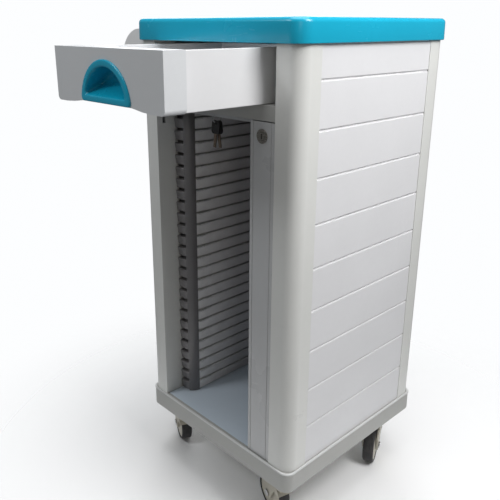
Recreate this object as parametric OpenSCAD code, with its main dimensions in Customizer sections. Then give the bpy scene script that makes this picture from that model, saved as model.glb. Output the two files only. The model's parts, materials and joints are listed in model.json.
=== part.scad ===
// Medical record trolley: moulded cabinet on four swivel castors, with an
// open record bay lined by slotted liners, a folding-leaf door parked behind
// its lock stile, a top drawer with a recessed pull, and a side push handle.
// Millimetres. Origin on the floor at the centre of the cabinet's footprint.
// The front faces -Y, the push handle is on the -X side.

/* [Cabinet] */
// Outside width across the corner columns
cab_w = 430; // [428:1:434]
// Outside depth across the corner columns
cab_d = 430; // [428:1:434]
// Height of the base's underside above the floor
base_z = 125; // [125:1:125]
// Height of the record bay's floor
bay_z = 168; // [165:1:170]
// Underside of the front rail
rail_z = 837; // [835:1:838]
// Underside of the cap
cap_z = 962; // [962:1:964]
// Top of the cap
top_z = 1002; // [998:1:1006]
// Face width of a corner column
col_f = 52; // [51:0.5:53]
// Outer corner radius of a column
col_r = 25; // [18:1:30]
// Number of grooves in a side panel
grooves = 9; // [5:1:12]
// Groove pitch
groove_p = 81.7; // [60:0.1:82]

/* [Record slots] */
// Number of slots in a liner
slots = 25; // [20:1:25]
// Slot pitch
slot_p = 25.7; // [24:0.1:25.8]
// Slot height
slot_h = 6; // [4:0.5:8]
// Slot depth
slot_d = 22; // [16:1:24]
// Distance from the middle to a liner's inner face
liner_x = 125; // [122:1:127]

/* [Drawer] */
// Width of the drawer's front panel
front_w = 308; // [300:1:318]
// Thickness of the front panel
front_t = 40; // [34:1:40]
// Width of the drawer's box
box_w = 274; // [264:1:276]
// Length of the drawer's box behind the front panel
box_l = 330; // [300:5:335]
// How far the drawer stands open
drawer_out = 215; // [200:1:220]
// Width of the recessed pull
pull_w = 142; // [120:2:150]
// Height of the recessed pull
pull_h = 68; // [60:1:70]

/* [Door] */
// Number of folding leaves
leaves = 6; // [6:1:6]
// Pitch of the folded leaves
leaf_p = 9; // [9:0.1:9]
// Length of a leaf between its hinge lines
leaf_w = 52.6; // [52:0.1:52.6]
// Thickness of a leaf
leaf_t = 8.2; // [7:0.1:8.2]

/* [Castors] */
// Wheel radius
wheel_r = 42.5; // [42.5:0.5:42.5]
// Distance of a castor's swivel axis from the cabinet's middle
castor_xy = 161.5; // [157:0.5:163]
// Swivel axis to wheel axis
trail = 37; // [36:1:38]

/* [Push handle] */
// Distance of the grip from the middle
grip_x = 262; // [256:1:266]
// Height of the grip
grip_z = 928; // [922:1:934]
// Radius of the grip tube
grip_r = 14; // [12:0.5:15]

/* [Hidden] */
$fn = 64;
// Rest angles of the castors: front left, front right, rear left, rear right
castor_a = [64, 75, 24, 204.5];

hw = cab_w / 2;
hd = cab_d / 2;
in_x = hw - col_f;              // inner face of the columns
in_y = hd - col_f;
wall = 4;
rail_top = rail_z + 27;         // top of the rail and of the drawer deck
drawer_z = rail_top + 2;
front_top = cap_z - 5.5;
pull_z = 5;                      // pull's foot above the front panel's lowest edge
front_y = -hd - drawer_out;     // drawer front's outer face at rest
fold_x = in_x - 1;              // hinge line of the first leaf
fold_y = -hd + 21;              // front hinge lines
stile_l = fold_x - leaves * leaf_p - 3;
stile_r = in_x - 1.5;
lock_x = in_x - 30;
lock_z = rail_z - 26;
box_z = rail_top + 1;
key_x = -63;
key_y = -141;

ABS = [0.86, 0.87, 0.87];
PANEL = [0.84, 0.84, 0.86];
GREY = [0.60, 0.62, 0.64];
BLUE = [0.07, 0.55, 0.74];
DARK = [0.10, 0.10, 0.11];
STEEL = [0.75, 0.76, 0.78];
BEIGE = [0.66, 0.64, 0.58];
LINER = [0.55, 0.56, 0.60];

// Rectangle with round corners, centred
module rrect(w, d, r) {
  square([w - 2 * r, d], center = true);
  square([w, d - 2 * r], center = true);
  for (x = [-1, 1], y = [-1, 1])
    translate([x * (w / 2 - r), y * (d / 2 - r)]) circle(r);
}
// Plate with round corners between two heights
module plate(w, d, r, z0, z1) {
  translate([0, 0, z0]) linear_extrude(z1 - z0) rrect(w, d, r);
}
// Box from one corner to another
module bar(a, b) { translate(a) cube(b - a); }
// Cylinder along Y from y0 to y1
module ycyl(x, z, y0, y1, r) {
  translate([x, y1, z]) rotate([90, 0, 0]) cylinder(h = y1 - y0, r = r);
}
// Cylinder along X from x0 to x1
module xcyl(y, z, x0, x1, r) {
  translate([x0, y, z]) rotate([0, 90, 0]) cylinder(h = x1 - x0, r = r);
}

// ---- base ----
module base_shell() {
  difference() {
    union() {
      plate(cab_w + 6, cab_d + 6, 20, base_z, bay_z - 2);
      plate(cab_w + 3, cab_d + 3, 18.5, base_z, bay_z);
    }
    // tray for the bay floor
    translate([0, 0, bay_z - 3]) linear_extrude(10) square([2 * in_x, cab_d - 12], center = true);
    // hollow underside, with pads left at the corners for the castors
    difference() {
      plate(cab_w - 4, cab_d - 4, 15, base_z - 1, bay_z - 10);
      for (x = [-1, 1], y = [-1, 1])
        translate([x * castor_xy, y * castor_xy, base_z - 2]) linear_extrude(60) square(74, center = true);
      bar([-6, -hd - 1, base_z + 4], [6, hd + 1, bay_z]);
      bar([-hw - 1, -6, base_z + 4], [hw + 1, 6, bay_z]);
    }
  }
}
module base_plinth() { color(GREY) base_shell(); }
module bay_floor() {
  color([0.55, 0.6, 0.65])
    translate([0, 0, bay_z - 3]) linear_extrude(3) square([2 * in_x - 0.6, cab_d - 12.6], center = true);
}

// ---- columns: square hollow section with one round outer corner ----
module col_profile() {
  difference() {
    union() {
      translate([-col_f, -col_f]) square([col_f, col_f - col_r]);
      translate([-col_f, -col_f]) square([col_f - col_r, col_f]);
      translate([-col_r, -col_r]) circle(col_r);
    }
    union() {
      translate([-col_f + wall, -col_f + wall]) square([col_f - 2 * wall, col_f - col_r - wall]);
      translate([-col_f + wall, -col_f + wall]) square([col_f - col_r - wall, col_f - 2 * wall]);
      translate([-col_r, -col_r]) circle(col_r - wall);
    }
  }
}
module column(sx, sy) {
  translate([sx * hw, sy * hd, bay_z]) mirror([sx < 0 ? 1 : 0, 0, 0]) mirror([0, sy < 0 ? 1 : 0, 0])
    linear_extrude(cap_z - bay_z) col_profile();
}
module front_left_column() {
  color(ABS) difference() {
    column(-1, -1);
    // slot for the lock's tongue
    bar([-in_x - 5, fold_y - 7, lock_z - 12], [-in_x + 1, fold_y + 1, lock_z + 12]);
  }
}
module front_right_column() { color(ABS) column(1, -1); }
module rear_left_column() { color(ABS) column(-1, 1); }
module rear_right_column() { color(ABS) column(1, 1); }

// ---- panels: a skin with horizontal grooves between two columns ----
module groove_cuts(len) {
  z0 = cap_z - 56.7;
  for (i = [0 : grooves - 1])
    translate([0, 0, z0 - i * groove_p]) rotate([0, 90, 0]) rotate([0, 0, 45])
      cube([3.6, 3.6, len], center = true);
}
module panel(len) {
  // skin in the XZ plane, outer face at y = 0, facing -Y
  difference() {
    bar([-len / 2, 0, bay_z], [len / 2, 8, cap_z]);
    groove_cuts(len + 2);
  }
}
module left_side_panel() { color(PANEL) translate([-hw + 1.5, 0, 0]) rotate([0, 0, -90]) panel(2 * in_y); }
module right_side_panel() { color(PANEL) translate([hw - 1.5, 0, 0]) rotate([0, 0, 90]) panel(2 * in_y); }
screw_x = in_x - 11;
screw_zs = [bay_z + 26, bay_z + 272, bay_z + 518, cap_z - 26];
module rear_panel() {
  color(PANEL) difference() {
    translate([0, hd - 1.5, 0]) rotate([0, 0, 180]) panel(2 * in_x);
    for (x = [-1, 1], z = screw_zs) ycyl(x * screw_x, z, hd - 20, hd + 5, 2.2);
  }
}

// ---- cap and the decks ----
module top_cap() {
  color(BLUE) difference() {
    union() {
      translate([0, -1, 0]) plate(cab_w + 12, cab_d + 14, 30, cap_z, top_z - 4);
      translate([0, -1, 0]) plate(cab_w + 9, cab_d + 11, 28.5, cap_z, top_z - 1);
      translate([0, -1, 0]) plate(cab_w + 5, cab_d + 7, 26.5, cap_z, top_z);
    }
    translate([0, -1, 0]) plate(cab_w - 24, cab_d - 22, 18, top_z - 6, top_z + 5);
    translate([0, -1, 0]) plate(cab_w + 3, cab_d + 5, 25.5, cap_z - 1, top_z - 11);
  }
}
module top_deck() {
  color(GREY) difference() {
    plate(cab_w, cab_d, col_r, cap_z, cap_z + 5);
    plate(cab_w - 170, cab_d - 170, 20, cap_z - 1, cap_z + 6);
  }
}
module front_rail() {
  color(GREY) difference() {
    bar([-in_x, -hd + 2, rail_z], [in_x, -hd + 21, rail_top]);
    bar([-in_x + 4, -hd + 6, rail_z + 4], [in_x - 4, -hd + 22, rail_top - 4]);
  }
}
module drawer_deck() {
  color(GREY) union() {
    bar([-in_x, -hd + 21, rail_top - 4], [in_x, hd - col_f, rail_top]);
    bar([-hw + 9.5, -in_y, rail_top - 4], [hw - 9.5, in_y, rail_top]);
    bar([-in_x, in_y - 1, rail_top - 4], [in_x, hd - 9.5, rail_top]);
  }
}

// ---- slot liners: a moulded back with ledges, a slot between each two ledges ----
// Drawn for the left side; front_at is the y of its front face.
liner_out = hw - 9.5;
liner_top = bay_z + (slots + 0.35) * slot_p + slot_h / 2;
module liner_plan(x0, front_at, off) {
  // plan of the liner, moved in by off on its front and inner faces
  r = 25 - off;
  x1 = -liner_x - off;
  y0 = front_at + off;
  y1 = in_y - 0.5;
  translate([x0, y0]) square([x1 - r - x0, y1 - y0]);
  translate([x0, y0 + r]) square([x1 - x0, y1 - y0 - r]);
  intersection() {
    translate([x1 - r, y0 + r]) circle(r);
    translate([x1 - r, y0]) square(r);
  }
}
module slot_back(front_at) {
  difference() {
    translate([0, 0, bay_z]) linear_extrude(liner_top - bay_z) liner_plan(-liner_out, front_at, slot_d);
    // open towards the side panel
    translate([-liner_out - 1, front_at + slot_d + 3, bay_z + 3])
      cube([liner_out - liner_x - slot_d - 2, in_y - front_at - slot_d - 8, liner_top - bay_z - 6]);
  }
}
module slot_ledges(front_at) {
  for (i = [0 : slots]) {
    z0 = i == 0 ? bay_z : bay_z + i * slot_p + slot_h / 2;
    z1 = i == slots ? liner_top : bay_z + (i + 1) * slot_p - slot_h / 2;
    translate([0, 0, z0]) linear_extrude(z1 - z0) difference() {
      liner_plan(-in_x + 0.3, front_at, 0);
      liner_plan(-in_x - 1, front_at, slot_d);
    }
  }
}
left_at = -hd + 43;
right_at = -hd + 83;
module left_slot_back() { color(LINER) slot_back(left_at); }
module left_slot_ledges() { color(LINER) slot_ledges(left_at); }
module right_slot_back() { color(LINER) mirror([1, 0, 0]) slot_back(right_at); }
module right_slot_ledges() { color(LINER) mirror([1, 0, 0]) slot_ledges(right_at); }

// ---- drawer runners and slides ----
module runner(s) {
  mirror([s < 0 ? 1 : 0, 0, 0]) difference() {
    bar([in_x - 13, -in_y - 9, box_z + 8], [in_x, in_y + 9, box_z + 30]);
    bar([in_x - 14, -in_y - 10, box_z + 10.5], [in_x - 2.5, in_y + 10, box_z + 27.5]);
  }
}
module left_drawer_runner() { color(STEEL) runner(-1); }
module right_drawer_runner() { color(STEEL) runner(1); }
module drawer_slides() {
  color(ABS) for (s = [-1, 1]) mirror([s < 0 ? 1 : 0, 0, 0])
    bar([box_w / 2, front_y + front_t + box_l - 82, box_z + 11],
        [in_x - 3.5, front_y + front_t + box_l - 4, box_z + 27]);
}

// ---- door track, strike ----
module upper_door_track() {
  color(STEEL) difference() {
    bar([-in_x, fold_y - 5.5, rail_z - 8], [in_x, fold_y + 5.5, rail_z]);
    bar([-in_x - 1, fold_y - 3, rail_z - 9], [in_x + 1, fold_y + 3, rail_z - 2]);
  }
}
module lock_strike() {
  color(STEEL) difference() {
    bar([-in_x - 12, fold_y - 9, lock_z - 18], [-in_x - 4, fold_y + 3, lock_z + 18]);
    bar([-in_x - 10, fold_y - 6.5, lock_z - 11], [-in_x - 3, fold_y + 0.5, lock_z + 11]);
  }
}

// ---- push handle ----
grip_y0 = -hd + 11;             // front face of the front bracket
grip_y1 = -hd + 45;             // its inner face
bolt_zs = [grip_z - 58, grip_z - 36];
module handle_brackets() {
  // half discs that wrap the corner columns, beside the cap
  color(ABS) for (s = [-1, 1]) mirror([0, s > 0 ? 1 : 0, 0])
    difference() {
      translate([-229, grip_y1, grip_z - 7]) rotate([90, 0, 0]) linear_extrude(grip_y1 - grip_y0)
        intersection() {
          circle(62);
          translate([-70, -70]) square([100, 140]);
        }
      // wraps the column's round corner and stays clear of the cap
      plate(cab_w, cab_d, col_r, grip_z - 90, cap_z + 1);
      translate([0, -1, 0]) plate(cab_w + 13, cab_d + 15, 30.5, cap_z - 1, top_z + 1);
      // seat for the tube, open on the inner side
      ycyl(-grip_x, grip_z, grip_y0 + 12, grip_y1 + 2, grip_r);
      // bolt holes
      for (z = bolt_zs) xcyl(grip_y0 + 20, z, -grip_x - 40, -hw - 5, 5);
      for (z = bolt_zs) xcyl(grip_y0 + 20, z, -grip_x - 40, -hw + 1, 2.6);
    }
}
module push_handle_tube() {
  color(STEEL) difference() {
    ycyl(-grip_x, grip_z, grip_y0 + 12, -grip_y0 - 12, grip_r);
    ycyl(-grip_x, grip_z, grip_y0 + 11, -grip_y0 - 11, grip_r - 1.5);
  }
}

// ---- fasteners ----
module frame_screws() {
  color(STEEL) {
    // bracket bolts
    for (s = [-1, 1], z = bolt_zs)
      translate([-hw - 5 - 3, -s * (grip_y0 + 20), z]) rotate([0, 90, 0]) {
        cylinder(h = 3, r = 4.5);
        cylinder(h = 7, r = 2.5);
      }
    // rear panel screws
    for (x = [-1, 1], z = screw_zs) {
      ycyl(x * screw_x, z, hd - 9, hd - 1.4, 2.1);
      ycyl(x * screw_x, z, hd - 1.5, hd + 0.6, 4.2);
    }
  }
}

// ---- castors ----
module castor_plates() {
  color(STEEL) for (x = [-1, 1], y = [-1, 1]) translate([x * castor_xy, y * castor_xy, 0]) {
    difference() {
      plate(66, 66, 8, base_z - 4, base_z);
      for (a = [-1, 1], b = [-1, 1]) translate([a * 24, b * 24, base_z - 5]) cylinder(h = 6, r = 3.2);
    }
    translate([0, 0, base_z - 8]) cylinder(h = 4, r = 17);
    translate([0, 0, base_z - 30]) cylinder(h = 23, r = 6);
    for (a = [-1, 1], b = [-1, 1]) translate([a * 24, b * 24, base_z - 7]) cylinder(h = 3, r = 5);
    for (a = [-1, 1], b = [-1, 1]) translate([a * 24, b * 24, base_z - 5]) cylinder(h = 5, r = 3.1);
  }
}
// Yoke drawn with its swivel axis at the origin and the wheel trailing to +Y
yoke_h = 18;                    // half width of the yoke
hood_r = wheel_r + 6.5;         // outer radius of the hood over the wheel
module yz(x0, x1) {
  // extrudes an outline in Y and Z along X
  translate([x0, 0, 0]) rotate([90, 0, 90]) linear_extrude(x1 - x0) children();
}
module yoke_hood(y1) {
  // arch over the wheel, ending at y1 behind the wheel's axis
  intersection() {
    translate([trail, wheel_r]) circle(hood_r);
    translate([-60, wheel_r + 20]) square([60 + trail + y1, 60]);
  }
}
module yoke_arm() {
  polygon([[trail - 26, wheel_r + 24], [trail - 8, wheel_r + 44], [trail + 16, wheel_r + 24], [trail + 13, wheel_r], [trail - 13, wheel_r]]);
  translate([trail, wheel_r]) circle(13);
}
module yoke_shape(y1) {
  difference() {
    union() {
      yz(-yoke_h, yoke_h) yoke_hood(y1);
      yz(-yoke_h, yoke_h) yoke_arm();
      bar([-yoke_h, -14, wheel_r + 37.5], [yoke_h, trail - 4, wheel_r + 52]);
      translate([0, 0, base_z - 45]) cylinder(h = 36.5, r = 20);
    }
    // wheel space
    xcyl(trail, wheel_r, -14, 14, 45.5);
    // kingpin bore
    translate([0, 0, base_z - 32]) cylinder(h = 30, r = 6.08);
    // axle bore
    xcyl(trail, wheel_r, -yoke_h - 1, yoke_h + 1, 4.05);
  }
}
module at_castor(i, sx, sy) {
  translate([sx * castor_xy, sy * castor_xy, 0]) rotate([0, 0, castor_a[i]]) children();
}
module axle_shape() {
  xcyl(trail, wheel_r, -yoke_h, yoke_h, 4);
  for (s = [-1, 1]) xcyl(trail, wheel_r, s > 0 ? yoke_h : -yoke_h - 3.5, s > 0 ? yoke_h + 3.5 : -yoke_h, 7);
}
module wheel_turn() {
  translate([0, trail, wheel_r]) rotate([0, 90, 0]) rotate_extrude() children();
}
rim_r = wheel_r - 5.5;
module hub_shape() {
  wheel_turn() polygon([[4.06, -13.6], [13, -13.6], [13.6, -12.8], [rim_r, -10.4],
    [rim_r, 10.4], [13.6, 12.8], [13, 13.6], [4.06, 13.6]]);
}
module tyre_shape() {
  wheel_turn() polygon([[rim_r, -11.6], [wheel_r - 3, -12.5], [wheel_r - 1, -11.7], [wheel_r, -9.8],
    [wheel_r, 9.8], [wheel_r - 1, 11.7], [wheel_r - 3, 12.5], [rim_r, 11.6]]);
}
pedal_y = trail + 48;
pedal_z = wheel_r + 30;
module brake_shape() {
  // pedal behind the hood
  difference() {
    union() {
      bar([-14, pedal_y - 1, pedal_z - 2.5], [14, pedal_y + 22, pedal_z + 2.5]);
      xcyl(pedal_y, pedal_z, -14, 14, 4.5);
    }
    xcyl(pedal_y, pedal_z, -15, 15, 2.05);
  }
}
module brake_pin_ears() {
  // ears and pin on the yoke that carry the pedal
  for (s = [-1, 1])
    bar([s > 0 ? 14.5 : -yoke_h, pedal_y - 13, pedal_z - 5], [s > 0 ? yoke_h : -14.5, pedal_y + 4, pedal_z + 5]);
  xcyl(pedal_y, pedal_z, -yoke_h, yoke_h, 2);
}
module front_left_yoke() { color(BEIGE) at_castor(0, -1, -1) union() { yoke_shape(80); brake_pin_ears(); } }
module front_left_axle() { color(STEEL) at_castor(0, -1, -1) axle_shape(); }
module front_left_hub() { color(BEIGE) at_castor(0, -1, -1) hub_shape(); }
module front_left_tyre() { color(DARK) at_castor(0, -1, -1) tyre_shape(); }
module front_left_brake() { color(BLUE) at_castor(0, -1, -1) brake_shape(); }
module front_right_yoke() { color(BEIGE) at_castor(1, 1, -1) union() { yoke_shape(80); brake_pin_ears(); } }
module front_right_axle() { color(STEEL) at_castor(1, 1, -1) axle_shape(); }
module front_right_hub() { color(BEIGE) at_castor(1, 1, -1) hub_shape(); }
module front_right_tyre() { color(DARK) at_castor(1, 1, -1) tyre_shape(); }
module front_right_brake() { color(BLUE) at_castor(1, 1, -1) brake_shape(); }
module rear_left_yoke() { color(BEIGE) at_castor(2, -1, 1) yoke_shape(-4); }
module rear_left_axle() { color(STEEL) at_castor(2, -1, 1) axle_shape(); }
module rear_left_hub() { color(BEIGE) at_castor(2, -1, 1) hub_shape(); }
module rear_left_tyre() { color(DARK) at_castor(2, -1, 1) tyre_shape(); }
module rear_right_yoke() { color(BEIGE) at_castor(3, 1, 1) yoke_shape(-4); }
module rear_right_axle() { color(STEEL) at_castor(3, 1, 1) axle_shape(); }
module rear_right_hub() { color(BEIGE) at_castor(3, 1, 1) hub_shape(); }
module rear_right_tyre() { color(DARK) at_castor(3, 1, 1) tyre_shape(); }

// ---- drawer ----
// Arch of the pull in the XZ plane: one large crown, small lower corners
module arch(w, h, off, rc) {
  r = w / 2 - off;
  cz = h - off - r;
  fz = off + rc;
  fx = sqrt(pow(r - rc, 2) - pow(fz - cz, 2));
  tz = cz + (fz - cz) * r / (r - rc);
  tx = fx * r / (r - rc);
  intersection() {
    translate([0, cz]) circle(r);
    translate([-w, tz]) square([2 * w, h]);
  }
  polygon([[-fx, off], [fx, off], [tx, tz], [-tx, tz]]);
  for (s = [-1, 1]) translate([s * fx, fz]) circle(rc);
}
module xz(y0, y1) {
  // extrudes an outline in X and Z along Y, from the drawer's foot
  translate([0, y1, drawer_z]) rotate([90, 0, 0]) linear_extrude(y1 - y0) children();
}
module front_outline() {
  h = front_top - drawer_z;
  translate([0, h / 2]) difference() {
    rrect(front_w, h, 8);
    translate([-front_w, h / 2 - 8]) square([2 * front_w, 20]);
  }
  translate([-front_w / 2, h - 9]) square([front_w, 9]);
}
module front_relief() {
  // the lower edge is raised in the middle, under the pull
  polygon([[-126, -1], [-124, 0], [-98, 1.5], [-74, pull_z - 0.3], [-68, pull_z],
    [68, pull_z], [74, pull_z - 0.3], [98, 1.5], [124, 0], [126, -1]]);
}
module drawer_front() {
  color(GREY) difference() {
    xz(front_y, front_y + front_t) difference() { front_outline(); front_relief(); }
    // hollow back
    bar([-front_w / 2 + 3.5, front_y + 4, drawer_z + 9], [-pull_w / 2 - 8, front_y + front_t - 3, front_top - 3.5]);
    bar([pull_w / 2 + 8, front_y + 4, drawer_z + 9], [front_w / 2 - 3.5, front_y + front_t - 3, front_top - 3.5]);
    // opening for the pull, open at the bottom edge
    xz(front_y - 6, front_y + 34) translate([0, pull_z]) arch(pull_w, pull_h, 0, 8);
    bar([-pull_w / 2 + 10, front_y - 6, drawer_z - 5], [pull_w / 2 - 10, front_y + 34, drawer_z + pull_z + 4]);
  }
}
module drawer_box() {
  color(ABS) difference() {
    bar([-box_w / 2, front_y + front_t, box_z], [box_w / 2, front_y + front_t + box_l, front_top - 1]);
    bar([-box_w / 2 + 3, front_y + front_t + 3, box_z + 3], [box_w / 2 - 3, front_y + front_t + box_l - 3, cap_z + 5]);
  }
}
ledge_f = 11;                   // height of the pull's ledge at its front and back
ledge_b = 28;
module drawer_pull() {
  color(BLUE) difference() {
    xz(front_y - 3, front_y + 33.5) translate([0, pull_z]) arch(pull_w, pull_h, 0.3, 8);
    // finger recess over a ledge that rises to the back
    difference() {
      xz(front_y - 6, front_y + 29) translate([0, pull_z + ledge_f]) arch(pull_w - 26, pull_h - 24, 0, 6);
      translate([-pull_w / 2, front_y, drawer_z + pull_z]) rotate([90, 0, 90]) linear_extrude(pull_w)
        polygon([[0, ledge_f - 1], [0, ledge_f], [29.5, ledge_b], [29.5, ledge_f - 1]]);
    }
  }
}

// ---- folding door ----
// Leaf k lies between hinge lines k-1 and k; odd leaves turn one way, even the other
module leaf(k, top, lug) {
  x1 = fold_x - (k - 1) * leaf_p - (leaf_p - leaf_t) / 2;
  even = (k % 2 == 0);
  difference() {
    union() {
      bar([x1 - leaf_t, fold_y + 0.5, bay_z + 6], [x1, fold_y + leaf_w - 0.5, top]);
      if (lug) {
        // lug and guide pin over the hinge line on the leaf's left
        bar([fold_x - k * leaf_p - 3, fold_y - 2.2, top - 1.4], [x1, fold_y + 6, top]);
        translate([fold_x - k * leaf_p, fold_y, top - 1.4]) cylinder(h = 5, r = 2.2);
      }
    }
    // long flutes down both faces
    for (f = [0, 1], j = [0.3, 0.7])
      translate([f == 0 ? x1 - leaf_t : x1, fold_y + leaf_w * j, bay_z - 5]) cylinder(h = 900, r = 1.6);
  }
}
lt = rail_z - 10;
module door_leaf_1() { color(PANEL) leaf(1, lt - 1.8, false); }
module door_leaf_2() { color(PANEL) leaf(2, lt, true); }
module door_leaf_3() { color(PANEL) leaf(3, lt - 1.8, false); }
module door_leaf_4() { color(PANEL) leaf(4, lt, true); }
module door_leaf_5() { color(PANEL) leaf(5, lt - 1.8, false); }
module door_leaf_6() { color(PANEL) leaf(6, lock_z - 40, false); }
module door_stile() {
  color(ABS) difference() {
    union() {
      bar([stile_l, -hd + 2, bay_z + 1.5], [stile_r, -hd + 10.5, rail_z - 1.5]);
      // hinge flange along the left edge, below the lock
      bar([stile_l, -hd + 10, bay_z + 6], [stile_l + 2.5, fold_y + 3, lock_z - 44]);
      // guide pin arm at the top
      bar([stile_l, -hd + 10, lt - 1.4], [stile_l + 8, fold_y + 2.2, lt]);
      translate([fold_x - leaves * leaf_p, fold_y, lt - 1.4]) cylinder(h = 5, r = 2.2);
    }
    ycyl(lock_x, lock_z, -hd, -hd + 12, 9.5);
    // shallow bead down each edge
    for (x = [stile_l + 7, stile_r - 7]) translate([x, -hd + 2, bay_z - 5]) cylinder(h = 900, r = 1);
  }
}
module lock_barrel() {
  color(STEEL) difference() {
    union() {
      ycyl(lock_x, lock_z, -hd + 0.5, -hd + 2, 12.5);
      ycyl(lock_x, lock_z, -hd + 2, -hd + 15.5, 9.5);
    }
    ycyl(lock_x, lock_z, -hd, -hd + 20, 7.08);
  }
}
module lock_plug() {
  color(STEEL) difference() {
    ycyl(lock_x, lock_z, -hd + 0.2, -hd + 16, 7);
    bar([lock_x - 1, -hd - 1, lock_z - 4.5], [lock_x + 1, -hd + 9, lock_z + 4.5]);
  }
}
module lock_tongue() {
  color(STEEL) translate([lock_x, -hd + 18, lock_z]) rotate([90, 0, 0]) linear_extrude(2) union() {
    circle(7.5);
    translate([-6.5, -33]) square([13, 33]);
  }
}

// ---- keys ----
eye_z = rail_top - 36;
module key_hook() {
  color(STEEL) difference() {
    union() {
      translate([key_x, key_y, rail_top - 7]) cylinder(h = 3, r = 9);
      bar([key_x - 5, key_y - 1, eye_z - 5], [key_x + 5, key_y + 1, rail_top - 6]);
    }
    ycyl(key_x, eye_z, key_y - 4, key_y + 4, 2.4);
  }
}
module key_ring() {
  // split ring hanging in the hook's eye
  color(STEEL) translate([key_x, key_y, eye_z - 11 - 1.2]) rotate([0, 90, 0])
    rotate_extrude() translate([11, 0]) circle(0.9);
}
module one_key(a, dy) {
  // drawn with the hole for the ring at the origin
  translate([key_x, key_y + dy, eye_z - 24.4]) rotate([0, a, 0]) {
    difference() {
      translate([0, 1.7, -8]) rotate([90, 0, 0]) linear_extrude(3.4) union() {
        square([23, 15], center = true);
        square([15, 27], center = true);
        for (x = [-1, 1], z = [-1, 1]) translate([x * 5, z * 7]) circle(6.5);
      }
      ycyl(0, 0, -5, 5, 3.1);
    }
    bar([-3.5, -1, -49], [3.5, 1, -21.4]);
  }
}
module keys() {
  color(DARK) {
    one_key(7, -1.9);
    one_key(-8, 1.9);
  }
}

base_plinth();
bay_floor();
front_left_column();
front_right_column();
rear_left_column();
rear_right_column();
left_side_panel();
right_side_panel();
rear_panel();
top_cap();
top_deck();
front_rail();
drawer_deck();
left_slot_back();
left_slot_ledges();
right_slot_back();
right_slot_ledges();
left_drawer_runner();
right_drawer_runner();
upper_door_track();
lock_strike();
handle_brackets();
push_handle_tube();
frame_screws();
castor_plates();
key_hook();
drawer_front();
drawer_box();
drawer_pull();
drawer_slides();
door_stile();
door_leaf_1();
door_leaf_2();
door_leaf_3();
door_leaf_4();
door_leaf_5();
door_leaf_6();
lock_barrel();
lock_plug();
lock_tongue();
front_left_yoke();
front_left_axle();
front_left_hub();
front_left_tyre();
front_right_yoke();
front_right_axle();
front_right_hub();
front_right_tyre();
rear_left_yoke();
rear_left_axle();
rear_left_hub();
rear_left_tyre();
rear_right_yoke();
rear_right_axle();
rear_right_hub();
rear_right_tyre();
front_left_brake();
front_right_brake();
key_ring();
keys();
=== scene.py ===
import json
import math

import bmesh
import bpy
from mathutils import Matrix, Vector

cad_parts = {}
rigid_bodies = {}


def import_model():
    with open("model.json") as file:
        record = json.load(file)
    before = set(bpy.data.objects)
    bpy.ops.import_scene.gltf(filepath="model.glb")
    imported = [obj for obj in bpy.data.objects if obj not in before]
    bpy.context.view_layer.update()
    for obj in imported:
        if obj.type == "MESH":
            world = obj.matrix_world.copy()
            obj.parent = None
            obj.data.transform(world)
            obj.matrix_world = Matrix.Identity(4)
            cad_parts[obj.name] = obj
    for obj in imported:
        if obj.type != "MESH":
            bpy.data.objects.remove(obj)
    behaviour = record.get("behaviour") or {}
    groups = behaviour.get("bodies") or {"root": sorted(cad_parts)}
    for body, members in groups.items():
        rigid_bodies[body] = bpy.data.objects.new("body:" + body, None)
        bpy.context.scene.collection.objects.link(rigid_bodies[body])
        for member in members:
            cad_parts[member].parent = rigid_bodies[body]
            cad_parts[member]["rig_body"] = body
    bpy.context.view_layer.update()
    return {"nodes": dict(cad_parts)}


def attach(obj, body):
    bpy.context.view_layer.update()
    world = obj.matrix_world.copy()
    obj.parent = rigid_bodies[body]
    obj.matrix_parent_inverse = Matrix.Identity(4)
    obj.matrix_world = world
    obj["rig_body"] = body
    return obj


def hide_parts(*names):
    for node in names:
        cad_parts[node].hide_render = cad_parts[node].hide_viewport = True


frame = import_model()
scene = bpy.context.scene
MM = 0.001


# ------------------------------------------------------------------ materials
def nodes_of(name):
    m = bpy.data.materials.new(name)
    m.use_nodes = True
    nt = m.node_tree
    for n in list(nt.nodes):
        if n.type != "OUTPUT_MATERIAL":
            nt.nodes.remove(n)
    out = [n for n in nt.nodes if n.type == "OUTPUT_MATERIAL"][0]
    b = nt.nodes.new("ShaderNodeBsdfPrincipled")
    nt.links.new(b.outputs["BSDF"], out.inputs["Surface"])
    tc = nt.nodes.new("ShaderNodeTexCoord")
    return m, nt, b, tc.outputs["Object"]


def noise(nt, co, scale, detail=4.0, rough=0.5, stretch=None, dist=0.0):
    src = co
    if stretch:
        mp = nt.nodes.new("ShaderNodeMapping")
        mp.inputs["Scale"].default_value = stretch
        nt.links.new(co, mp.inputs["Vector"])
        src = mp.outputs["Vector"]
    n = nt.nodes.new("ShaderNodeTexNoise")
    n.inputs["Scale"].default_value = scale
    n.inputs["Detail"].default_value = detail
    n.inputs["Roughness"].default_value = rough
    n.inputs["Distortion"].default_value = dist
    nt.links.new(src, n.inputs["Vector"])
    return n.outputs["Fac"]


def remap(nt, fac, a, b, c, d):
    m = nt.nodes.new("ShaderNodeMapRange")
    m.inputs["From Min"].default_value = a
    m.inputs["From Max"].default_value = b
    m.inputs["To Min"].default_value = c
    m.inputs["To Max"].default_value = d
    nt.links.new(fac, m.inputs["Value"])
    return m.outputs["Result"]


def mix(nt, fac, a, b, mode="MIX"):
    """Mix of two colours, each a socket or a tuple."""
    m = nt.nodes.new("ShaderNodeMix")
    m.data_type = "RGBA"
    m.blend_type = mode
    ins = [s for s in m.inputs if s.type == "RGBA"]
    if isinstance(fac, (int, float)):
        m.inputs[0].default_value = fac
    else:
        nt.links.new(fac, m.inputs[0])
    for s, v in zip(ins, (a, b)):
        if isinstance(v, tuple):
            s.default_value = (*v, 1.0)
        else:
            nt.links.new(v, s)
    return [s for s in m.outputs if s.type == "RGBA"][0]


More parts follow.
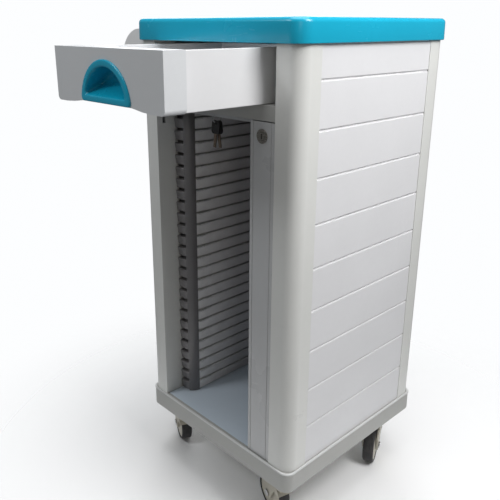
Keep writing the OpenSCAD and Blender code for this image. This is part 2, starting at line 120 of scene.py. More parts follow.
def math_node(nt, op, a, b):
    m = nt.nodes.new("ShaderNodeMath")
    m.operation = op
    m.use_clamp = True
    for i, v in enumerate((a, b)):
        if isinstance(v, (int, float)):
            m.inputs[i].default_value = v
        else:
            nt.links.new(v, m.inputs[i])
    return m.outputs[0]


def crevice(nt, dist, lo=0.35, hi=0.95):
    """1 in tight corners, 0 on open faces."""
    ao = nt.nodes.new("ShaderNodeAmbientOcclusion")
    ao.samples = 6
    ao.inputs["Distance"].default_value = dist
    return remap(nt, ao.outputs["AO"], lo, hi, 1.0, 0.0)


def bump_of(nt, heights, bsdf):
    """Chains bumps: heights is a list of (socket, strength, distance)."""
    last = None
    for h, s, d in heights:
        b = nt.nodes.new("ShaderNodeBump")
        b.inputs["Strength"].default_value = s
        b.inputs["Distance"].default_value = d
        nt.links.new(h, b.inputs["Height"])
        if last:
            nt.links.new(last, b.inputs["Normal"])
        last = b.outputs["Normal"]
    nt.links.new(last, bsdf.inputs["Normal"])


def scaled(c, k):
    return tuple(min(1.0, v * k) for v in c)


def plastic(name, col, rough=0.38, var=0.035, coat=0.0, grain=0.06, cell=1500.0,
            dust_and_shade=0.25, dust_and_shade_col=(0.16, 0.14, 0.12), scuff=0.5, spec=0.5, ao=0.014):
    """Moulded plastic: mottle in the resin, spark-eroded grain, scuffs, dust with painted shade in the corners."""
    m, nt, b, co = nodes_of(name)
    cloud = remap(nt, noise(nt, co, 5.0, 5, 0.55), 0.3, 0.7, 0.0, 1.0)
    fine = remap(nt, noise(nt, co, 85.0, 6, 0.6), 0.3, 0.7, 0.0, 1.0)
    c = mix(nt, cloud, scaled(col, 1 - var), scaled(col, 1 + var * 0.6))
    c = mix(nt, math_node(nt, "MULTIPLY", fine, 0.35), c, scaled(col, 1 - var * 1.3))
    # faint long scuffs from handling
    sc = noise(nt, co, 14.0, 3, 0.7, (1.0, 2.2, 9.0), 0.4)
    marks = remap(nt, sc, 0.62, 0.72, 0.0, 1.0)
    c = mix(nt, math_node(nt, "MULTIPLY", marks, 0.10 * scuff), c, scaled(col, 0.72))
    # crevices found by ambient occlusion are darkened towards the given colour: dust together with painted crevice
    # shade
    if dust_and_shade > 0:
        cr = crevice(nt, ao)
        dust_and_crevice_shade = math_node(nt, "MULTIPLY", cr, remap(nt, fine, 0.0, 1.0, 0.6, 1.0))
        c = mix(nt, math_node(nt, "MULTIPLY", dust_and_crevice_shade, dust_and_shade), c, dust_and_shade_col)
    nt.links.new(c, b.inputs["Base Color"])
    r = remap(nt, cloud, 0.0, 1.0, rough * 0.88, rough * 1.12)
    r = math_node(nt, "ADD", r, math_node(nt, "MULTIPLY", marks, 0.10 * scuff))
    nt.links.new(r, b.inputs["Roughness"])
    b.inputs["Coat Weight"].default_value = coat
    b.inputs["Coat Roughness"].default_value = 0.12
    b.inputs["Specular IOR Level"].default_value = spec
    v = nt.nodes.new("ShaderNodeTexVoronoi")
    v.inputs["Scale"].default_value = cell
    nt.links.new(co, v.inputs["Vector"])
    bump_of(nt, [(noise(nt, co, 9.0, 2), 0.25, 0.0006),
                 (v.outputs["Distance"], grain, 0.00025),
                 (noise(nt, co, cell * 0.6, 3), grain, 0.0002)], b)
    return m


def metal(name, col, rough=0.25, brushed=(1.0, 1.0, 60.0), tarnish=0.25, scale=30.0):
    m, nt, b, co = nodes_of(name)
    b.inputs["Metallic"].default_value = 1.0
    cloud = remap(nt, noise(nt, co, 22.0, 6, 0.6), 0.35, 0.7, 0.0, 1.0)
    br = noise(nt, co, scale, 4, 0.6, brushed)
    c = mix(nt, math_node(nt, "MULTIPLY", cloud, tarnish), col, scaled(col, 0.62))
    # crevices found by ambient occlusion are darkened to near black: painted crevice shade
    cr = crevice(nt, 0.006)
    c = mix(nt, math_node(nt, "MULTIPLY", cr, 0.45), c, (0.05, 0.045, 0.04))
    nt.links.new(c, b.inputs["Base Color"])
    r = math_node(nt, "ADD", remap(nt, br, 0.3, 0.7, rough * 0.7, rough * 1.3),
                  math_node(nt, "MULTIPLY", cloud, 0.10))
    nt.links.new(r, b.inputs["Roughness"])
    bump_of(nt, [(br, 0.12, 0.0002), (noise(nt, co, 500.0, 3), 0.05, 0.0002)], b)
    return m


def rubber(name, col=(0.018, 0.018, 0.019)):
    m, nt, b, co = nodes_of(name)
    cloud = remap(nt, noise(nt, co, 40.0, 6, 0.6), 0.35, 0.65, 0.0, 1.0)
    dust = remap(nt, noise(nt, co, 18.0, 4, 0.6), 0.5, 0.75, 0.0, 0.35)
    c = mix(nt, cloud, col, scaled(col, 1.8))
    c = mix(nt, dust, c, (0.16, 0.15, 0.14))
    nt.links.new(c, b.inputs["Base Color"])
    nt.links.new(remap(nt, cloud, 0.0, 1.0, 0.55, 0.78), b.inputs["Roughness"])
    b.inputs["Sheen Weight"].default_value = 0.08
    bump_of(nt, [(noise(nt, co, 260.0, 5), 0.25, 0.0004),
                 (noise(nt, co, 1400.0, 3), 0.2, 0.0002)], b)
    return m


# the crevice darkening set per plastic below is dust together with painted crevice shade
M = {
    "column": plastic("column_abs", (0.76, 0.77, 0.75), 0.30, coat=0.25, dust_and_shade=0.30, grain=0.03),
    "bracket": plastic("bracket_abs", (0.86, 0.87, 0.875), 0.32, coat=0.2, dust_and_shade=0.25, grain=0.04),
    "panel": plastic("panel_abs", (0.79, 0.795, 0.815), 0.42, dust_and_shade=0.35, grain=0.10),
    "grey": plastic("grey_abs", (0.44, 0.445, 0.43), 0.40, dust_and_shade=0.30, grain=0.08),
    "bead": plastic("bead_abs", (0.66, 0.67, 0.67), 0.32, dust_and_shade=0.20, grain=0.05),
    "front": plastic("drawer_abs", (0.70, 0.72, 0.74), 0.36, dust_and_shade=0.22, grain=0.06),
    "box": plastic("drawer_box_abs", (0.76, 0.765, 0.78), 0.34, coat=0.15, dust_and_shade=0.22, grain=0.04),
    "blue": plastic("blue_abs", (0.006, 0.40, 0.60), 0.26, var=0.05, coat=0.25, dust_and_shade=0.25,
                    dust_and_shade_col=(0.005, 0.08, 0.12), grain=0.02, scuff=0.25, spec=0.4),
    # the liner's grey is darker than the cabinet's plastic: painted shade for the inside of the bay
    "liner": plastic("liner_abs", (0.46, 0.45, 0.46), 0.32, dust_and_shade=0.12, grain=0.06,
                     dust_and_shade_col=(0.04, 0.035, 0.035), ao=0.006, coat=0.1),
    # near-black plastic for the corner post: painted shade
    "post_shade": plastic("post_shade_abs", (0.17, 0.165, 0.17), 0.34, dust_and_shade=0.3, grain=0.05, coat=0.15),
    "floor": plastic("floor_abs", (0.62, 0.71, 0.80), 0.40, dust_and_shade=0.35, grain=0.10),
    "stile": plastic("stile_abs", (0.56, 0.57, 0.58), 0.28, coat=0.2, dust_and_shade=0.25, grain=0.03),
    "castor": plastic("castor_plastic", (0.50, 0.475, 0.40), 0.42, var=0.06, dust_and_shade=0.5,
                      dust_and_shade_col=(0.06, 0.05, 0.035), grain=0.12, scuff=1.0),
    "key": plastic("key_black", (0.014, 0.014, 0.015), 0.30, dust_and_shade=0.2, grain=0.05, coat=0.2),
    "steel": metal("bright_steel", (0.72, 0.72, 0.73), 0.20),
    "cam": metal("lock_steel", (0.33, 0.31, 0.28), 0.22, tarnish=0.5),
    "blade": metal("key_steel", (0.30, 0.24, 0.19), 0.30, tarnish=0.4),
    "zinc": metal("zinc_steel", (0.56, 0.57, 0.58), 0.36, (3.0, 3.0, 3.0), 0.5),
    "tyre": rubber("tyre_rubber"),
}


def lip_highlight_material():
    """Liner plastic, shiny along the lips, painted pale as a highlight that is brightest near the open front and
    fades rearward.
    """
    m = plastic("lip_highlight_abs", (0.85, 0.85, 0.86), 0.22, var=0.06, coat=0.4, dust_and_shade=0.15, grain=0.02)
    nt = m.node_tree
    b = [n for n in nt.nodes if n.type == "BSDF_PRINCIPLED"][0]
    pale = b.inputs["Base Color"].links[0].from_socket
    tc = nt.nodes.new("ShaderNodeTexCoord")
    sp = nt.nodes.new("ShaderNodeSeparateXYZ")
    nt.links.new(tc.outputs["Object"], sp.inputs[0])
    # painted highlight: pale near the open front, fading to dark grey towards the back
    front_highlight_fade = remap(nt, sp.outputs["Y"], -0.125, -0.06, 1.0, 0.0)
    blot = remap(nt, noise(nt, tc.outputs["Object"], 60.0, 4), 0.35, 0.65, 0.55, 1.0)
    nt.links.new(mix(nt, math_node(nt, "MULTIPLY", front_highlight_fade, blot), (0.30, 0.30, 0.315), pale), b.inputs["Base Color"])
    return m


def liner_painted_light():
    """The liner is painted paler behind the corner post, as light falling in from the open front that fades
    rearward, and painted dark on its narrow front as shade.
    """
    m = M["liner"]
    nt = m.node_tree
    b = [n for n in nt.nodes if n.type == "BSDF_PRINCIPLED"][0]
    c = b.inputs["Base Color"].links[0].from_socket
    tc = nt.nodes.new("ShaderNodeTexCoord")
    sp = nt.nodes.new("ShaderNodeSeparateXYZ")
    nt.links.new(tc.outputs["Object"], sp.inputs[0])
    y = sp.outputs["Y"]
    # painted light: paler just behind the corner post, fading towards the back
    painted_front_light = math_node(nt, "MULTIPLY", remap(nt, y, -0.146, -0.02, 1.0, 0.0), remap(nt, y, -0.150, -0.1465, 0.0, 1.0))
    painted_front_light = math_node(nt, "MULTIPLY", painted_front_light, remap(nt, noise(nt, tc.outputs["Object"], 45.0, 4), 0.3, 0.7, 0.75, 1.0))
    c = mix(nt, painted_front_light, c, (0.93, 0.925, 0.93))
    # painted shade on the liner's narrow front face
    c = mix(nt, remap(nt, y, -0.166, -0.150, 0.75, 0.0), c, (0.13, 0.125, 0.13))
    nt.links.new(c, b.inputs["Base Color"])


M["lip"] = lip_highlight_material()
liner_painted_light()


# ------------------------------------------------------------------ mesh helpers
def put(name, me, mat, body, replaces=(), smooth=35.0):
    o = bpy.data.objects.new(name, me)
    scene.collection.objects.link(o)
    me.materials.clear()
    me.materials.append(M[mat])
    me.polygons.foreach_set("use_smooth", [True] * len(me.polygons))
    me.set_sharp_from_angle(angle=math.radians(smooth))
    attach(o, body)
    if replaces:
        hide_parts(*replaces)
    return o


def from_data(name, verts, faces):
    me = bpy.data.meshes.new(name)
    me.from_pydata([tuple(v) for v in verts], [], faces)
    me.update()
    bm = bmesh.new()
    bm.from_mesh(me)
    bmesh.ops.remove_doubles(bm, verts=bm.verts, dist=1e-6)
    bmesh.ops.recalc_face_normals(bm, faces=bm.faces)
    bm.to_mesh(me)
    bm.free()
    return me


def clean_copy(node, name):
    """A welded copy of a CAD node's mesh, with its flat triangles merged into whole faces."""
    src = frame["nodes"][node].data
    bm = bmesh.new()
    bm.from_mesh(src)
    bmesh.ops.remove_doubles(bm, verts=bm.verts, dist=2e-6)
    bmesh.ops.dissolve_limit(bm, angle_limit=math.radians(0.4), use_dissolve_boundaries=False,
                             verts=bm.verts, edges=bm.edges, delimit=set())
    me = bpy.data.meshes.new(name)
    bm.to_mesh(me)
    bm.free()
    for a in ("custom_normal", "sharp_edge", "sharp_face"):
        if a in me.attributes:
            me.attributes.remove(me.attributes[a])
    return me


def refine(node, mat, width=0.0008, segs=3, angle=32.0, name=None, smooth=35.0):
    """Stands for a CAD node: the same shape with its edges rounded as moulded or turned edges are."""
    me = clean_copy(node, (name or node) + "_fine")
    body = frame["nodes"][node]["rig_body"]
    o = put((name or node) + "_fine", me, mat, body, (node,), smooth)
    b = o.modifiers.new("edges", "BEVEL")
    b.width = width
    b.segments = segs
    b.limit_method = "ANGLE"
    b.angle_limit = math.radians(angle)
    b.miter_outer = "MITER_SHARP"
    b.use_clamp_overlap = True
    b.harden_normals = False
    w = o.modifiers.new("normals", "WEIGHTED_NORMAL")
    w.keep_sharp = True
    w.weight = 80
    return o


def rr(w, d, r, n=8, cx=0.0, cy=0.0):
    """Points of a rectangle with round corners, counter-clockwise, in metres."""
    pts = []
    r = max(r, 0.0002)
    for (sx, sy, a0) in ((1, -1, -90), (1, 1, 0), (-1, 1, 90), (-1, -1, 180)):
        for i in range(n + 1):
            a = math.radians(a0 + 90.0 * i / n)
            pts.append((cx + sx * (w / 2 - r) + r * math.cos(a),
                        cy + sy * (d / 2 - r) + r * math.sin(a)))
    return pts


def loft(rings, cap0=True, cap1=True, close=False):
    """Skin through rings with equal point counts."""
    n = len(rings[0])
    verts = [p for r in rings for p in r]
    faces = []
    m = len(rings)
    for k in range(m if close else m - 1):
        a, b = k * n, ((k + 1) % m) * n
        for i in range(n):
            j = (i + 1) % n
            faces.append((a + i, a + j, b + j, b + i))
    if not close:
        if cap0:
            faces.append(tuple(range(n - 1, -1, -1)))
        if cap1:
            faces.append(tuple((m - 1) * n + i for i in range(n)))
    return verts, faces


def arc(c, r, a0, a1, n):
    return [(c[0] + r * math.cos(math.radians(a0 + (a1 - a0) * i / n)),
             c[1] + r * math.sin(math.radians(a0 + (a1 - a0) * i / n))) for i in range(n + 1)]


# ------------------------------------------------------------------ camera, light, floor
cam_data = bpy.data.cameras.new("camera")
cam = bpy.data.objects.new("camera", cam_data)
scene.collection.objects.link(cam)
cam.location = (0.84726, -0.94481, 0.98813)
cam.rotation_euler = (math.radians(72.111), 0.0, math.radians(47.074))
cam_data.sensor_width = 36.0
cam_data.lens = 43.868
cam_data.shift_x = 0.0342
cam_data.shift_y = -0.0549
cam_data.clip_start = 0.05
cam_data.clip_end = 60.0
scene.camera = cam
scene.view_settings.view_transform = "Standard"
scene.view_settings.look = "None"
scene.view_settings.exposure = 0.0

world = bpy.data.worlds.new("studio")
scene.world = world
world.use_nodes = True
wn = world.node_tree
for n in list(wn.nodes):
    wn.nodes.remove(n)
w_out = wn.nodes.new("ShaderNodeOutputWorld")
w_light = wn.nodes.new("ShaderNodeBackground")
w_light.inputs["Color"].default_value = (0.96, 0.98, 1.0, 1.0)
w_light.inputs["Strength"].default_value = 0.15
w_seen = wn.nodes.new("ShaderNodeBackground")
w_seen.inputs["Color"].default_value = (0.98, 0.99, 1.0, 1.0)
w_seen.inputs["Strength"].default_value = 1.0
w_mix = wn.nodes.new("ShaderNodeMixShader")
w_path = wn.nodes.new("ShaderNodeLightPath")
wn.links.new(w_path.outputs["Is Camera Ray"], w_mix.inputs[0])
wn.links.new(w_light.outputs[0], w_mix.inputs[1])
wn.links.new(w_seen.outputs[0], w_mix.inputs[2])
wn.links.new(w_mix.outputs[0], w_out.inputs["Surface"])


def area(name, loc, target, size, power, color=(1.0, 1.0, 1.0)):
    d = bpy.data.lights.new(name, "AREA")
    d.shape = "RECTANGLE"
    d.size, d.size_y = size
    d.energy = power
    d.color = color
    o = bpy.data.objects.new(name, d)
    scene.collection.objects.link(o)
    o.location = loc
    o.rotation_euler = (Vector(target) - Vector(loc)).to_track_quat("-Z", "Y").to_euler()
    return o


area("key", (1.20, 0.08, 1.74), (0.2, 0.0, 0.84), (0.7, 0.7), 20.5, (1.0, 0.99, 0.985))
area("top", (0.1, -0.1, 3.0), (0.0, 0.0, 0.0), (2.2, 2.2), 48.0)
area("back", (-2.0, 1.8, 1.9), (0.0, 0.0, 0.5), (1.8, 1.8), 22.0, (0.97, 0.985, 1.0))
area("front_high", (-0.95, -1.9, 2.3), (0.0, -0.2, 0.55), (0.7, 0.7), 14.0, (0.97, 0.985, 1.0))
area("front_right", (1.9, -1.8, 1.5), (0.1, -0.1, 0.5), (0.8, 0.8), 2.2, (1.0, 0.86, 0.66))

bpy.ops.mesh.primitive_circle_add(vertices=96, radius=3.0, fill_type="NGON", location=(0, 0, 0))
floor = bpy.context.object
floor.name = "stage_floor"
fm, fnt, fb, fco = nodes_of("stage_floor")
fc = remap(fnt, noise(fnt, fco, 2.0, 4), 0.3, 0.7, 0.0, 1.0)
fnt.links.new(mix(fnt, fc, (0.95, 0.955, 0.96), (0.97, 0.975, 0.98)), fb.inputs["Base Color"])
fb.inputs["Roughness"].default_value = 0.9
# the floor fades into the pale background
f_len = fnt.nodes.new("ShaderNodeVectorMath")
f_len.operation = "LENGTH"
fnt.links.new(fco, f_len.inputs[0])
f_fade = fnt.nodes.new("ShaderNodeMapRange")
f_fade.interpolation_type = "SMOOTHERSTEP"
f_fade.inputs["From Min"].default_value = 0.20
f_fade.inputs["From Max"].default_value = 1.0
fnt.links.new(f_len.outputs["Value"], f_fade.inputs["Value"])
f_clear = fnt.nodes.new("ShaderNodeBsdfTransparent")
f_mix = fnt.nodes.new("ShaderNodeMixShader")
fnt.links.new(f_fade.outputs["Result"], f_mix.inputs[0])
fnt.links.new(fb.outputs["BSDF"], f_mix.inputs[1])
fnt.links.new(f_clear.outputs[0], f_mix.inputs[2])
fnt.links.new(f_mix.outputs[0], [n for n in fnt.nodes if n.type == "OUTPUT_MATERIAL"][0].inputs["Surface"])
floor.data.materials.append(fm)


# ------------------------------------------------------------------ cap
def cap():
    cx, cy, W, D, R = 0.0, -0.001, 0.442, 0.444, 0.030
    dz = -0.010
    prof = [(0.0045, 1.001), (0.0045, 0.9735)]                 # inside of the skirt
    prof += [(0.0035, 0.972), (0.0018, 0.972)]
    prof += [(p[0], p[1]) for p in arc((0.0018, 0.9738), 0.0018, 270, 180, 4)][1:]
    prof += [(0.0006, 1.0035)]
    prof += [(p[0] + 0.0006, p[1]) for p in arc((0.0085, 1.0035), 0.0085, 180, 90, 8)][1:]
    prof += [(0.0130, 1.0120)]
    prof += arc((0.0130, 1.0100), 0.0020, 90, 0, 4)[1:]
    prof += [(0.0152, 1.0082)]
    prof += arc((0.0177, 1.0085), 0.0025, 180, 270, 4)[1:]
    prof += [(0.0300, 1.0060), (0.0900, 1.0061), (0.1600, 1.0062), (0.2150, 1.0062)]
    rings = []
    for inset, z in prof:
        r = max(0.004, R - inset) if inset < 0.026 else max(0.002, 0.018 - (inset - 0.018) * 0.5)
        rings.append([(x, y, z + dz) for x, y in rr(W - 2 * inset, D - 2 * inset, min(r, (W - 2 * inset) / 2 - 0.0001), 10, cx, cy)])
    v, f = loft(rings)
    return put("cap_shell", from_data("cap_shell", v, f), "blue", "cabinet", ("top_cap",), 50.0)


cap()


# ------------------------------------------------------------------ base rim bead
def rim_bead():
    rings = []
    sec = [(2.6 + 2.6 * math.cos(math.radians(t)), 2.6 * math.sin(math.radians(t))) for t in range(0, 360, 30)]
    W = 0.436 + 0.0018
    for u, h in sec:
        inset = u * MM
        rings.append([(x, y, 0.1662 + h * MM) for x, y in rr(W - 2 * inset, W - 2 * inset, 0.0205 - inset, 10)])
    v, f = loft(rings, close=True)
    return put("base_rim_bead", from_data("base_rim_bead", v, f), "bead", "cabinet", (), 70.0)


rim_bead()


# ------------------------------------------------------------------ slotted liners
BAY, PITCH, SLOT_H, SLOT_D, SLOTS = 168.0, 25.7, 6.0, 22.0, 25
LINER_TOP = BAY + (SLOTS + 0.35) * PITCH + SLOT_H / 2


def liner_path(front_at, u):
    """Plan line of a left liner at a depth u behind its outer surface, in mm."""
    x0, x1, y1, r = -162.7, -125.0 - u, 162.5, 25.0 - u
    y0 = front_at + u
    pts = [(x0, y0), (-156.0, y0)]
    c = (x1 - r, y0 + r)
    pts += [(c[0] + r * math.cos(math.radians(a)), c[1] + r * math.sin(math.radians(a)))
            for a in [-90 + 90 * i / 14 for i in range(15)]]
    for k in range(1, 9):
        pts.append((x1, (y0 + r) + (y1 - y0 - r) * k / 8))
    return pts


def ledge_section(z0, z1):
    """Closed section of a ledge: depth and height. The face leans in under a round upper lip."""
    lean, r0, r1 = 2.6, 1.4, 2.4
    pts = [(22.2, z0), (12.0, z0 + 0.1)]
    pts += [(lean + r0 + r0 * math.cos(math.radians(a)), z0 + r0 + r0 * math.sin(math.radians(a)))
            for a in (270, 240, 210, 180)]
    pts += [(lean * 0.62, z0 + (z1 - z0) * 0.40), (lean * 0.2, z0 + (z1 - z0) * 0.72)]
    pts += [(r1 + r1 * math.cos(math.radians(a)), z1 - r1 + r1 * math.sin(math.radians(a)))
            for a in (180, 165, 145, 125, 105, 90)]
    pts += [(12.0, z1 - 0.1), (22.2, z1)]
    return pts


def ledges(side, front_at):
    verts, faces = [], []
    sx = 1.0 if side == "left" else -1.0
    for i in range(SLOTS + 1):
        z0 = BAY + 0.2 if i == 0 else BAY + i * PITCH + SLOT_H / 2
        z1 = LINER_TOP if i == SLOTS else BAY + (i + 1) * PITCH - SLOT_H / 2
        sec = ledge_section(z0, z1)
        cols = [liner_path(front_at, u) for u, _ in sec]
        n, m = len(cols[0]), len(sec)
        base = len(verts)
        low = 0.0 if i == 0 else 4.2
        for j in range(m):
            for k in range(n):
                x, y = cols[j][k]
                # behind the corner the foot of each ledge hangs a little lower
                hang = low * min(1.0, max(0.0, (k - 14) / 3.0)) if 2 <= j <= 6 else 0.0
                verts.append((sx * x * MM, y * MM, (sec[j][1] - hang * (1.0 if j < 6 else 0.5)) * MM))
        for j in range(m):
            j2 = (j + 1) % m
            for k in range(n - 1):
                faces.append((base + j * n + k, base + j * n + k + 1, base + j2 * n + k + 1, base + j2 * n + k))
        faces.append(tuple(base + j * n for j in range(m)))
        faces.append(tuple(base + j * n + n - 1 for j in range(m - 1, -1, -1)))
    me = from_data(side + "_ledge_row", verts, faces)
    return put(side + "_ledge_row", me, "liner", "cabinet", (side + "_slot_ledges",), 40.0)


def lips(side, front_at):
    """Short lip bead where each ledge's top edge leaves the corner post, running out rearward, in the
    painted-highlight lip plastic.
    """
    sx = 1.0 if side == "left" else -1.0
    verts, faces = [], []
    for i in range(SLOTS + 1):
        z1 = LINER_TOP if i == SLOTS else BAY + (i + 1) * PITCH - SLOT_H / 2
        rings = []
        y0 = front_at + 25.0
        for k in range(13):
            t = k / 12
            y = y0 + 2.5 + 52.0 * t ** 1.15
            r = 1.9 * min(1.0, 0.55 + 3.0 * t) * (1.0 - 0.72 * t ** 2)
            rings.append([(sx * (-125.7 - 0.9 * t + r * 0.95 * math.cos(math.radians(a))) * MM, y * MM,
                           (z1 - 1.45 + r * math.sin(math.radians(a))) * MM) for a in range(0, 360, 30)])
        v, f = loft(rings)
        base = len(verts)
        verts += v
        faces += [tuple(base + q for q in fc_) for fc_ in f]
    me = from_data(side + "_ledge_lips", verts, faces)
    return put(side + "_ledge_lips", me, "lip", "cabinet", (), 60.0)


def corner_post(side, front_at):
    """Plain upright strip that the ledges run into at the liner's round corner."""
    sx = 1.0 if side == "left" else -1.0
    c = (-150.0, front_at + 25.0)
    prof = []
    for a in range(-58, -3, 6):
        prof.append((25.7, a))
    sec = [(24.6, -60.5), (25.3, -60.2)] + prof + [(25.3, -1.8), (24.6, -1.5)]
    sec += [(22.4, -3.0), (22.4, -58.0)]
    rings = []
    for z, k in ((BAY + 0.25, 1.2), (BAY + 0.7, 0.4), (BAY + 1.6, 0.0), (BAY + 220.0, 0.0), (BAY + 440.0, 0.0),
                 (LINER_TOP - 1.6, 0.0), (LINER_TOP - 0.7, 0.4), (LINER_TOP - 0.2, 1.2)):
        rings.append([(sx * (c[0] + (r - k) * math.cos(math.radians(a))) * MM,
                       (c[1] + (r - k) * math.sin(math.radians(a))) * MM, z * MM) for r, a in sec])
    v, f = loft(rings)
    # the post takes the near-black painted-shade plastic
    return put(side + "_corner_post", from_data(side + "_corner_post", v, f), "post_shade", "cabinet", (), 45.0)


ledges("left", -172.0)
ledges("right", -132.0)
lips("left", -172.0)
lips("right", -132.0)
corner_post("left", -172.0)
corner_post("right", -132.0)


# ------------------------------------------------------------------ drawer pull
FOOT = 871.0
FRONT_Y = -430.0


def d_ring(f, h, z0, y, rc=8.0, n=36):
    """Ring of a D lying on its flat: foot half width f, height h, foot height z0."""
    R = (f * f + h * h) / (2 * h)
    cz = z0 + h - R
    a0 = math.asin(max(-1.0, min(1.0, (z0 - cz) / R)))
    da = rc / R
    pts = []
    for i in range(n + 1):
        a = (a0 + da) + (math.pi - 2 * (a0 + da)) * i / n
        pts.append((R * math.cos(a), cz + R * math.sin(a)))
    first, last = pts[0], pts[-1]
    for i in range(1, 7):
        t = i / 7
        pts.append(((1 - t) ** 2 * last[0] + 2 * t * (1 - t) * -f + t * t * (-f + rc),
                    (1 - t) ** 2 * last[1] + 2 * t * (1 - t) * z0 + t * t * z0))
    for i in range(0, 11):
        pts.append((-f + rc + (2 * f - 2 * rc) * i / 10, z0))
    for i in range(1, 7):
        t = i / 7
        pts.append(((1 - t) ** 2 * (f - rc) + 2 * t * (1 - t) * f + t * t * first[0],
                    (1 - t) ** 2 * z0 + 2 * t * (1 - t) * z0 + t * t * first[1]))
    return [(x * MM, y * MM, z * MM) for x, z in pts]


def pull():
    y = FRONT_Y
    r = []
    # outside of the body, from the back to the rim
    r.append(d_ring(69.0, 66.2, FOOT + 0.5, y + 33.2))
    r.append(d_ring(70.2, 67.4, FOOT + 0.3, y + 32.0))
    r.append(d_ring(70.2, 67.4, FOOT + 0.3, y + 0.4))
    # rounded rim that stands proud of the panel and laps it a little
    r.append(d_ring(71.0, 68.2, FOOT + 0.2, y - 0.05))
    r.append(d_ring(71.0, 68.2, FOOT + 0.2, y - 1.2))
    for t in (20, 40, 60, 80):
        a = math.radians(t)
        k = 2.4 * (1 - math.cos(a))
        r.append(d_ring(71.0 - k, 68.2 - 2 * k + k * 0.0, FOOT + 0.2 + k, y - 1.2 - 2.0 * math.sin(a)))
    r.append(d_ring(66.0, 59.6, FOOT + 4.4, y - 3.3))
    r.append(d_ring(61.5, 52.0, FOOT + 8.2, y - 3.2, 7.0))
    # lip turning into the scoop
    for t in (25, 50, 75):
        a = math.radians(t)
        k = 3.2 * math.sin(a)
        r.append(d_ring(61.5 - k, 52.0 - 2 * k, FOOT + 8.2 + k, y - 3.2 + 2.6 * (1 - math.cos(a)), 7.0))
    # scoop walls, the foot rising into a sloping ledge
    for t in (0.08, 0.3, 0.55, 0.8, 0.94):
        r.append(d_ring(57.8 - 7.0 * t, 45.4 - 19.0 * t, FOOT + 11.4 + 15.6 * t, y + 0.6 + 27.0 * t, 6.5 - 1.5 * t))
    r.append(d_ring(49.4, 23.6, FOOT + 28.0, y + 28.3, 5.0))
    r.append(d_ring(45.5, 18.0, FOOT + 31.0, y + 29.6, 4.0))
    v, f = loft(r)
    return put("pull_scoop", from_data("pull_scoop", v, f), "blue", "drawer", ("drawer_pull",), 48.0)


pull()


# ------------------------------------------------------------------ castor hub covers
def turned(name, prof, mat, tyre_node, n=64):
    """A turned ring about a castor's wheel axis, from radius and side offset pairs in mm."""
    side = tyre_node.rsplit("_", 1)[0]
    ang = math.radians({"front_left": 64, "front_right": 75, "rear_left": 24, "rear_right": 204.5}[side])
    sx = -1 if side.endswith("left") else 1
    sy = -1 if side.startswith("front") else 1
    d = Vector((-math.sin(ang), math.cos(ang), 0))
    ax = Vector((math.cos(ang), math.sin(ang), 0))
    c = Vector((sx * 0.1615, sy * 0.1615, 0.0425)) + d * 0.037
    rings = []
    for rad, off in prof:
        ring = []
        for i in range(n):
            t = 2 * math.pi * i / n
            ring.append(c + ax * (off * MM) + (d * math.cos(t) + Vector((0, 0, 1)) * math.sin(t)) * (rad * MM))
        rings.append(ring)
    v, f = loft(rings, close=True)
    return put(name, from_data(name, v, f), mat, side + "_wheel", (tyre_node,), 38.0)


for side in ("front_left", "front_right", "rear_left", "rear_right"):
    hub = [(4.1, -13.6), (12.2, -13.6), (13.0, -13.2), (13.4, -12.6), (16.0, -12.4), (24.0, -12.1),
           (29.0, -11.6), (30.2, -11.0), (31.2, -11.0), (32.2, -11.4), (35.8, -10.9), (36.8, -10.2),
           (37.1, -9.6), (37.1, 9.6), (36.8, 10.2), (35.8, 10.9), (32.2, 11.4), (31.2, 11.0),
           (30.2, 11.0), (29.0, 11.6), (24.0, 12.1), (16.0, 12.4), (13.4, 12.6), (13.0, 13.2),
           (12.2, 13.6), (4.1, 13.6)]
    turned(side + "_wheel_disc", hub, "castor", side + "_hub")
    tyre = [(36.6, -11.0), (37.6, -11.7), (38.6, -12.3), (39.6, -12.45), (40.6, -12.2), (41.5, -11.5),
            (42.1, -10.5), (42.4, -9.4), (42.45, -5.6), (42.0, -5.2), (42.0, -4.6), (42.45, -4.2),
            (42.5, 0.0), (42.45, 4.2), (42.0, 4.6), (42.0, 5.2), (42.45, 5.6), (42.4, 9.4),
            (42.1, 10.5), (41.5, 11.5), (40.6, 12.2), (39.6, 12.45), (38.6, 12.3), (37.6, 11.7),
            (36.6, 11.0)]
    turned(side + "_tread", tyre, "tyre", side + "_tyre", 80)

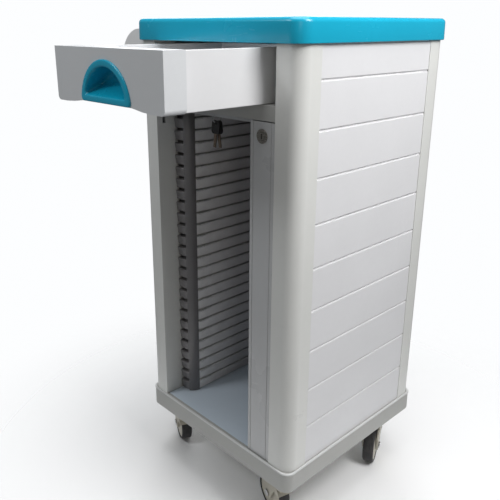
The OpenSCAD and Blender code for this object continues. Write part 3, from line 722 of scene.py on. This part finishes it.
# ------------------------------------------------------------------ CAD nodes kept or refined
REFINED = {
    "base_plinth": ("grey", 0.0022), "bay_floor": ("floor", 0.0006),
    "front_left_column": ("column", 0.0010), "front_right_column": ("column", 0.0010),
    "rear_left_column": ("column", 0.0010), "rear_right_column": ("column", 0.0010),
    "left_side_panel": ("panel", 0.0005), "right_side_panel": ("panel", 0.0005),
    "rear_panel": ("panel", 0.0005), "top_deck": ("grey", 0.0006), "front_rail": ("grey", 0.0010),
    "drawer_deck": ("grey", 0.0006), "left_slot_back": ("liner", 0.0007),
    "right_slot_back": ("liner", 0.0007), "left_drawer_runner": ("zinc", 0.0004),
    "right_drawer_runner": ("zinc", 0.0004), "upper_door_track": ("zinc", 0.0003),
    "lock_strike": ("zinc", 0.0004),
    "handle_brackets": ("bracket", 0.0040), "push_handle_tube": ("steel", 0.0005),
    "frame_screws": ("steel", 0.0007), "castor_plates": ("zinc", 0.0006),
    "key_hook": ("steel", 0.0005), "drawer_front": ("front", 0.0030),
    "drawer_box": ("box", 0.0012),
    "drawer_slides": ("box", 0.0008), "door_stile": ("stile", 0.0008),
    "door_leaf_1": ("panel", 0.0005), "door_leaf_2": ("panel", 0.0005),
    "door_leaf_3": ("panel", 0.0005), "door_leaf_4": ("panel", 0.0005),
    "door_leaf_5": ("panel", 0.0005), "door_leaf_6": ("panel", 0.0005),
    "lock_barrel": ("cam", 0.0006), "lock_plug": ("cam", 0.0003),
    "lock_tongue": ("zinc", 0.0004), "key_ring": ("steel", 0.0001),
    "front_left_brake": ("castor", 0.0015), "front_right_brake": ("castor", 0.0015),
}
for n in ("front_left", "front_right", "rear_left", "rear_right"):
    REFINED[n + "_yoke"] = ("castor", 0.0018)
    REFINED[n + "_axle"] = ("steel", 0.0010)
for n, (mt, wd) in REFINED.items():
    refine(n, mt, wd)



def key_half(name, mat, keep_top):
    """The keys' heads or blades, cut apart where the blade enters the head."""
    me = clean_copy("keys", name)
    bm = bmesh.new()
    bm.from_mesh(me)
    z = min(v.co.z for v in bm.verts) + 0.0282
    geo = list(bm.verts) + list(bm.edges) + list(bm.faces)
    cut = bmesh.ops.bisect_plane(bm, geom=geo, plane_co=(0, 0, z), plane_no=(0, 0, 1),
                                 clear_inner=keep_top, clear_outer=not keep_top)
    rim = [g for g in cut["geom_cut"] if isinstance(g, bmesh.types.BMEdge)]
    bmesh.ops.edgeloop_fill(bm, edges=rim)
    bmesh.ops.recalc_face_normals(bm, faces=bm.faces)
    bm.to_mesh(me)
    bm.free()
    o = put(name, me, mat, frame["nodes"]["keys"]["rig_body"], ("keys",), 35.0)
    b = o.modifiers.new("edges", "BEVEL")
    b.width = 0.0006 if keep_top else 0.0003
    b.segments = 2
    b.limit_method = "ANGLE"
    b.angle_limit = math.radians(32)
    return o


key_half("key_heads", "key", True)
key_half("key_blades", "blade", False)
